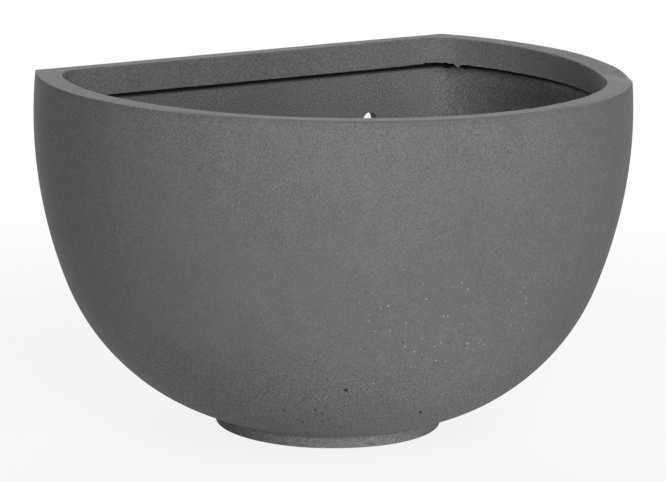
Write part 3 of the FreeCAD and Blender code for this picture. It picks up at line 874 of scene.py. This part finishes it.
# Painted light and shade on the inside walls and the lip, by place.
def inside_painted_shading(n, at):
    side = n.remap(at.across, *INSIDE_BAND, INSIDE_LEFT, INSIDE_RIGHT, True)
    lip = n.remap(at.across, *RIGHT_LIP_BAND, 1.0, RIGHT_LIP, True)
    back_wall = n.remap(at.across, *BACK_WALL_BAND, BACK_WALL, BACK_CORNER)
    right_wall = n.remap(at.below_lip, *RIGHT_WALL_DEPTHS, RIGHT_WALL_LOW, RIGHT_WALL_HIGH)
    lift = n.product(n.remap(at.below_lip, *LIFT_DEPTHS, 0.0, 1.0, True),
                     n.remap(at.towards_back, *LIFT_BAND, 0.0, RIGHT_WALL_LIFT, True))
    front = n.remap(at.towards_back, *RIGHT_FRONT_BAND, 1.0, RIGHT_WALL_FRONT)
    right_wall = n.product(n.math("ADD", right_wall, lift), front)
    at_right = n.remap(at.across, *RIGHT_WALL_BAND, 0.0, 1.0, True)
    on_wall = n.math("GREATER_THAN", at.undercut, 0.0)
    return n.product(side, n.blend(lip, n.blend(back_wall, right_wall, at_right), on_wall))


def rim_painted_shading(n, at):
    """Painted light on the rim's top, painted shade along its front edge, and the painted shadow line below
    its outer edge.
    """
    top = n.blend(n.remap(at.across, *RIM_BAND, RIM_PALER, RIM_RIGHT, True), RIM_FRONT_SHADE, at.front_edge_shade)
    line = n.remap(at.height, RIM_HEIGHT - RIM_SHADE, RIM_HEIGHT - 2 * RIM_ROUND, 0.0, 1.0, True)
    line = n.product(line, n.math("SUBTRACT", 1.0, n.math("MAXIMUM", at.top, at.inside)))
    return n.product(n.blend(1.0, top, at.top), n.blend(1.0, RIM_LINE, line))


def grain_tone(n, at, grain):
    coarse = n.remap(n.noise(at.where, *COARSE_NOISE), *COARSE_VALUES, COARSE_LEAST, COARSE_MOST, True)
    coarse = n.math("ADD", coarse, n.remap(at.height, *COARSE_TOP_BAND, 0.0, COARSE_TOP, True))
    coarse = n.math("ADD", coarse, n.remap(at.height, *COARSE_LOW_BAND, 0.0, COARSE_LOW, True))
    inside = n.remap(at.below_lip, *COARSE_DEPTHS, COARSE_WALL, COARSE_LIP)
    coarse = n.math("MAXIMUM", coarse, n.product(at.inside, inside))
    return n.math("MULTIPLY_ADD", n.remap(grain, *GRAIN_VALUES, -GRAIN_SWING, GRAIN_SWING), coarse, 1.0)


def worn_and_painted_light(n, at, tone):
    """The tone, made paler on rubbed edges with their painted highlight, and by painted light round the
    foot.
    """
    patchy = n.remap(n.noise(at.where, *RUBBED_AND_HIGHLIGHT_NOISE), *NOISE_VALUES, RUBBED_AND_HIGHLIGHT_LEAST, 1.0)
    tone = n.math("MULTIPLY_ADD", n.product(at.wear_and_highlight, patchy), RUBBED_AND_HIGHLIGHT_PALER, tone)
    foot_light = n.remap(at.height, *FOOT_LIGHT_BAND, 0.0, FOOT_PAINTED_LIGHT, True)
    return n.product(tone, n.math("ADD", foot_light, 1.0))


def specks(n, at):
    patchy = n.remap(n.noise(at.where, *SPECK_NOISE), *SPECK_VALUES, SPECK_GAPS, 1.0, True)
    away = n.add("ShaderNodeVectorMath", {0: at.where, 1: SPECK_CLUSTER}, operation="DISTANCE")
    return n.product(n.dots(at.where, *SPECK_DOTS), patchy,
                     n.remap(away.outputs["Value"], *SPECK_CLUSTER_BAND, 1.0, SPECK_FAR, True),
                     n.remap(at.height, *SPECK_TOP_BAND, SPECK_TOP, 1.0, True),
                     n.remap(at.height, *SPECK_FOOT_BAND, SPECK_FOOT, 1.0, True),
                     n.remap(at.across, *SPECK_LEFT_BAND, SPECK_LEFT, 1.0, True))


def lip_shade(n, at):
    """How dark the painted shade is on the wall in the undercut below the lip."""
    depth = n.math("DIVIDE", at.below_lip, at.undercut)
    dark = n.remap(depth, *UNDERCUT_SHARES, UNDERCUT_DARK, 0.0, True)
    return n.product(dark, at.inside, n.math("GREATER_THAN", depth, UNDERCUT_FROM))


def fibre_stone():
    """Cast fibre stone: matt grey with a fine grain, cloudy tone, pale specks and dark pinholes. Light and
    shade are painted into its colour: rim, inside, foot, under the lip, pinholes and pits.
    """
    n = Nodes(bpy.data.materials.new("fibre_stone"))
    at = StonePoint(n)
    grain = n.noise(at.where, *GRAIN_NOISE)
    pinhole = n.product(n.dots(at.where, *PINHOLE_DOTS),
                        n.remap(at.height, *PINHOLE_BAND, 1.0, PINHOLE_HIGH_UP, True))

    cloud = n.remap(n.noise(at.where, *CLOUD_NOISE), *NOISE_VALUES, 1 - CLOUD_SWING, 1 + CLOUD_SWING)
    patch = n.remap(n.noise(at.where, *PATCH_NOISE), *NOISE_VALUES, 1 - PATCH_SWING, 1 + PATCH_SWING)
    tone = n.product(cloud, patch, STONE_GREY, n.blend(1.0, inside_painted_shading(n, at), at.inside))
    tone = n.product(tone, rim_painted_shading(n, at), grain_tone(n, at, grain))
    tone = worn_and_painted_light(n, at, tone)
    tone = n.blend(tone, SPECK_GREY, specks(n, at))
    # Painted shade in the pinholes, in the pits' middles and in the undercut below the lip.
    tone = n.blend(tone, PINHOLE_SHADE_GREY, n.product(pinhole, PINHOLE_PAINTED_SHADE))
    tone = n.blend(tone, PIT_SHADE_GREY, n.remap(at.pit, *PIT_SHARES, 0.0, PIT_PAINTED_SHADE, True))
    tone = n.blend(tone, UNDERCUT_GREY, lip_shade(n, at))

    relief = n.product(grain, GRAIN_DEPTH)
    relief = n.math("MULTIPLY_ADD", n.noise(at.where, *DIMPLE_NOISE), DIMPLE_DEPTH, relief)
    relief = n.math("MULTIPLY_ADD", pinhole, -PINHOLE_DEPTH, relief)
    rough = n.remap(n.noise(at.where, *ROUGH_NOISE), *NOISE_VALUES, ROUGH_LEAST, ROUGH_MOST)
    return n.finish(n.skin(tone, rough, relief, STONE_BUMP, STONE_SPECULAR))


# The rubber's finish, bare and where dust lies on it.

RUBBER_GREY, RUBBER_ROUGH, RUBBER_BUMP, RUBBER_SPECULAR = 0.016, 0.55, 0.7, 0.4
RUBBER_NOISE, RUBBER_DEPTH = (1400.0, 2.0, 0.6), 0.00006
DUST_NOISE, DUST_VALUES, DUST_GREY, DUST_ROUGH = (220.0, 4.0, 0.65), (0.42, 0.72), 0.045, 0.8


def plug_rubber():
    """Matt black rubber, a little dusty."""
    n = Nodes(bpy.data.materials.new("plug_rubber"))
    where = n.add("ShaderNodeTexCoord").outputs["Object"]
    dust = n.remap(n.noise(where, *DUST_NOISE), *DUST_VALUES, 0.0, 1.0, True)
    tone = n.blend(RUBBER_GREY, DUST_GREY, dust)
    rough = n.blend(RUBBER_ROUGH, DUST_ROUGH, dust)
    relief = n.product(n.noise(where, *RUBBER_NOISE), RUBBER_DEPTH)
    return n.finish(n.skin(tone, rough, relief, RUBBER_BUMP, RUBBER_SPECULAR))


def make_shell(material):
    rings = foot_rings() + side_rings() + cavity_rings()
    piece = new_piece("planter_shell", *loft(rings, SHELL_STEP))
    mark_wear_and_highlight(piece)
    make_uneven(piece.data)
    add_pits(piece)
    cut_wall_holes(piece)
    mark_sides(piece)
    mark_shell(piece)
    shade(piece)
    piece.data.materials.append(material)
    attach(piece, "pot")
    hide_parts("shell")


def make_lip(material):
    piece = new_piece("planter_lip", *loft(lip_rings(), LIP_STEP))
    mark_wear_and_highlight(piece)
    make_lip_ragged(piece.data)
    make_uneven(piece.data)
    mark_sides(piece)
    shade(piece)
    piece.data.materials.append(material)
    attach(piece, "pot")
    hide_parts("rim_lip")


# The drain plug's sizes, with its small edges: dish, bevels, fillet under the flange and tip of the stem.

PLUG_FLANGE_RADIUS = plug_high.x
PLUG_FLANGE = 0.004
PLUG_ROUND = 0.0012
PLUG_STEM_RADIUS = 0.01242
PLUG_BORE_RADIUS = 0.0075
PLUG_CROWN = 0.003
PLUG_DISH, PLUG_BEVEL, PLUG_FILLET, PLUG_TIP = 0.0004, 0.0006, 0.0003, 0.001
PLUG_COLUMNS, PLUG_EDGE_ROWS = 96, 6


def plug_section():
    """The plug's section from the middle of its top round to the middle of the hollow under it."""
    top, low = plug_high.z, plug_low.z
    seat = top - PLUG_FLANGE
    crown = top - PLUG_CROWN
    edge = (PLUG_FLANGE_RADIUS - PLUG_ROUND, top - PLUG_ROUND)
    section = [(0.0, top - PLUG_DISH), (PLUG_FLANGE_RADIUS / 2, top - PLUG_DISH / 2)]
    section += [(edge[0] + PLUG_ROUND * math.sin(a), edge[1] + PLUG_ROUND * math.cos(a))
                for a in np.linspace(0.0, math.pi / 2, PLUG_EDGE_ROWS)]
    section += [(PLUG_FLANGE_RADIUS, seat + PLUG_BEVEL), (PLUG_FLANGE_RADIUS - PLUG_BEVEL, seat)]
    section += [(PLUG_STEM_RADIUS + PLUG_FILLET, seat), (PLUG_STEM_RADIUS, seat - PLUG_FILLET)]
    section += [(PLUG_STEM_RADIUS, low + PLUG_TIP), (PLUG_STEM_RADIUS - PLUG_TIP / 2, low + PLUG_FILLET)]
    section += [(PLUG_STEM_RADIUS - PLUG_TIP, low), (PLUG_BORE_RADIUS + PLUG_BEVEL, low)]
    section += [(PLUG_BORE_RADIUS, low + PLUG_BEVEL), (PLUG_BORE_RADIUS, crown - PLUG_ROUND)]
    return section + [(PLUG_BORE_RADIUS - PLUG_ROUND, crown), (0.0, crown)]


def make_plug(material):
    """The drain plug: flange, stem and the hollow under it, turned from one section."""
    section = plug_section()
    points, faces = [], []
    turn = np.linspace(0, 2 * math.pi, PLUG_COLUMNS, endpoint=False)
    for r, z in section[1:-1]:
        points += [(r * math.cos(a), r * math.sin(a), z) for a in turn]
    rows = len(section) - 2
    for row in range(rows - 1):
        for i in range(PLUG_COLUMNS):
            j = (i + 1) % PLUG_COLUMNS
            faces.append((row * PLUG_COLUMNS + i, row * PLUG_COLUMNS + j,
                          (row + 1) * PLUG_COLUMNS + j, (row + 1) * PLUG_COLUMNS + i))
    for row, (_, z) in ((0, section[0]), (rows - 1, section[-1])):
        points.append((0.0, 0.0, z))
        hub = len(points) - 1
        faces += [(row * PLUG_COLUMNS + i, row * PLUG_COLUMNS + (i + 1) % PLUG_COLUMNS, hub)
                  for i in range(PLUG_COLUMNS)]
    piece = new_piece("planter_drain_plug", points, faces)
    shade(piece)
    piece.data.materials.append(material)
    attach(piece, "plug")
    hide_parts("drain_plug")


# The studio: a white floor, a white surround and soft lights. The floor shows shadow only near the pot.

WHITE, FLOOR_PAPER = (1.0, 1.0, 1.0, 1.0), (0.9, 0.9, 0.9, 1.0)
FLOOR_HALF = 6.0
SHADOW_GLOW, SHADOW_REACH, FLOOR_FADE = 0.86, 0.45, 1.3
AMBIENT = 0.03


def shown_rays(n):
    """1 for the rays that should see the white surround: camera, glossy and transmission rays."""
    path = n.add("ShaderNodeLightPath")
    seen = n.math("MAXIMUM", path.outputs["Is Camera Ray"], path.outputs["Is Glossy Ray"])
    return n.math("MAXIMUM", seen, path.outputs["Is Transmission Ray"])


def make_floor():
    n = Nodes(bpy.data.materials.new("studio_floor"))
    paper = n.add("ShaderNodeBsdfDiffuse", {"Color": FLOOR_PAPER})
    glow = n.add("ShaderNodeEmission", {"Color": WHITE, "Strength": 1.0})
    where = n.add("ShaderNodeTexCoord").outputs["Object"]
    from_pot = n.add("ShaderNodeVectorMath", {0: where}, operation="LENGTH").outputs["Value"]
    glow_share = n.remap(from_pot, SHADOW_REACH, FLOOR_FADE, SHADOW_GLOW, 1.0, True)
    share = n.product(shown_rays(n), glow_share)
    shader = n.add("ShaderNodeMixShader", {0: share, 1: paper.outputs[0], 2: glow.outputs[0]})
    h = FLOOR_HALF
    floor = new_piece("studio_floor", [(-h, -h, 0), (h, -h, 0), (h, h, 0), (-h, h, 0)], [(0, 1, 2, 3)])
    floor.data.materials.append(n.finish(shader))


def make_world():
    n = Nodes(bpy.data.worlds.new("studio"))
    dim = n.add("ShaderNodeBackground", {"Color": WHITE, "Strength": AMBIENT})
    white = n.add("ShaderNodeBackground", {"Color": WHITE, "Strength": 1.0})
    shader = n.add("ShaderNodeMixShader", {0: shown_rays(n), 1: dim.outputs[0], 2: white.outputs[0]})
    bpy.context.scene.world = n.finish(shader, "ShaderNodeOutputWorld")


# Each soft light: azimuth round the pot in degrees (0 is the front, 90 the right), elevation, distance,
# size in metres and power in watts. All of them look at one point in the pot.

LIGHT_AIM = Vector((0.0, 0.0, 0.15))
LIGHTS = {
    "key_left": (-25.0, 25.0, 2.4, 1.5, 32.4),
    "key_front": (0.0, 36.0, 2.4, 1.5, 12.0),
    "back_right": (130.0, 12.0, 2.4, 1.5, 32.0),
    "back_left": (168.0, 12.0, 2.4, 1.5, 31.0),
}

# A low spot from the front, for the foot under the belly.

FOOT_SPOT_AZIMUTH, FOOT_SPOT_DISTANCE, FOOT_SPOT_HEIGHT = -8.0, 1.8, 0.03
FOOT_SPOT_CONE, FOOT_SPOT_POWER = 9.0, 43.5

# A spot from above, for the inside of the bowl. Its cone passes through the mouth, clear of the rim.

MOUTH_SPOT_Y, MOUTH_SPOT_HEIGHT = -0.05, 2.2
MOUTH_SPOT_CONE, MOUTH_SPOT_POWER = 8.6, 70.0
SPOT_SOFT = 0.08


def light_way(azimuth, elevation):
    """The direction from the pot towards a light."""
    a = math.radians(azimuth)
    e = math.radians(elevation)
    return Vector((math.sin(a) * math.cos(e), -math.cos(a) * math.cos(e), math.sin(e)))


def place_light(name, data, location, target):
    light = bpy.data.objects.new(name, data)
    light.location = location
    light.rotation_euler = (location - target).to_track_quat("Z", "Y").to_euler()
    bpy.context.collection.objects.link(light)


def make_light(name, azimuth, elevation, distance, size, power):
    data = bpy.data.lights.new(name, "AREA")
    data.shape = "SQUARE"
    data.size = size
    data.energy = power
    place_light(name, data, LIGHT_AIM + light_way(azimuth, elevation) * distance, LIGHT_AIM)


def make_spot(name, location, target, cone, power):
    data = bpy.data.lights.new(name, "SPOT")
    data.spot_size = math.radians(cone)
    data.spot_blend = 1.0
    data.shadow_soft_size = SPOT_SOFT
    data.energy = power
    place_light(name, data, location, target)


def make_spots():
    foot_spot = light_way(FOOT_SPOT_AZIMUTH, 0.0) * FOOT_SPOT_DISTANCE
    foot_spot.z = FOOT_SPOT_HEIGHT
    make_spot("foot_spot", foot_spot, Vector((0.0, 0.0, RECESS)), FOOT_SPOT_CONE, FOOT_SPOT_POWER)
    mouth_spot = Vector((0.0, MOUTH_SPOT_Y, MOUTH_SPOT_HEIGHT))
    straight_down = Vector((0.0, MOUTH_SPOT_Y, 0.0))
    make_spot("mouth_spot", mouth_spot, straight_down, MOUTH_SPOT_CONE, MOUTH_SPOT_POWER)


def make_camera():
    place, right, up, forward = photo_axes()
    data = bpy.data.cameras.new("photo_camera")
    data.lens = LENS_MM
    data.sensor_width = SENSOR_MM
    data.sensor_fit = "HORIZONTAL"
    camera = bpy.data.objects.new("photo_camera", data)
    turn = Matrix((right, up, -forward)).transposed()
    camera.matrix_world = Matrix.Translation(place) @ turn.to_4x4()
    bpy.context.collection.objects.link(camera)
    bpy.context.scene.camera = camera


stone = fibre_stone()
make_shell(stone)
make_lip(stone)
make_plug(plug_rubber())
make_floor()
make_world()
for light_name, light_values in LIGHTS.items():
    make_light(light_name, *light_values)
make_spots()
make_camera()
bpy.context.scene.view_settings.view_transform = "Standard"
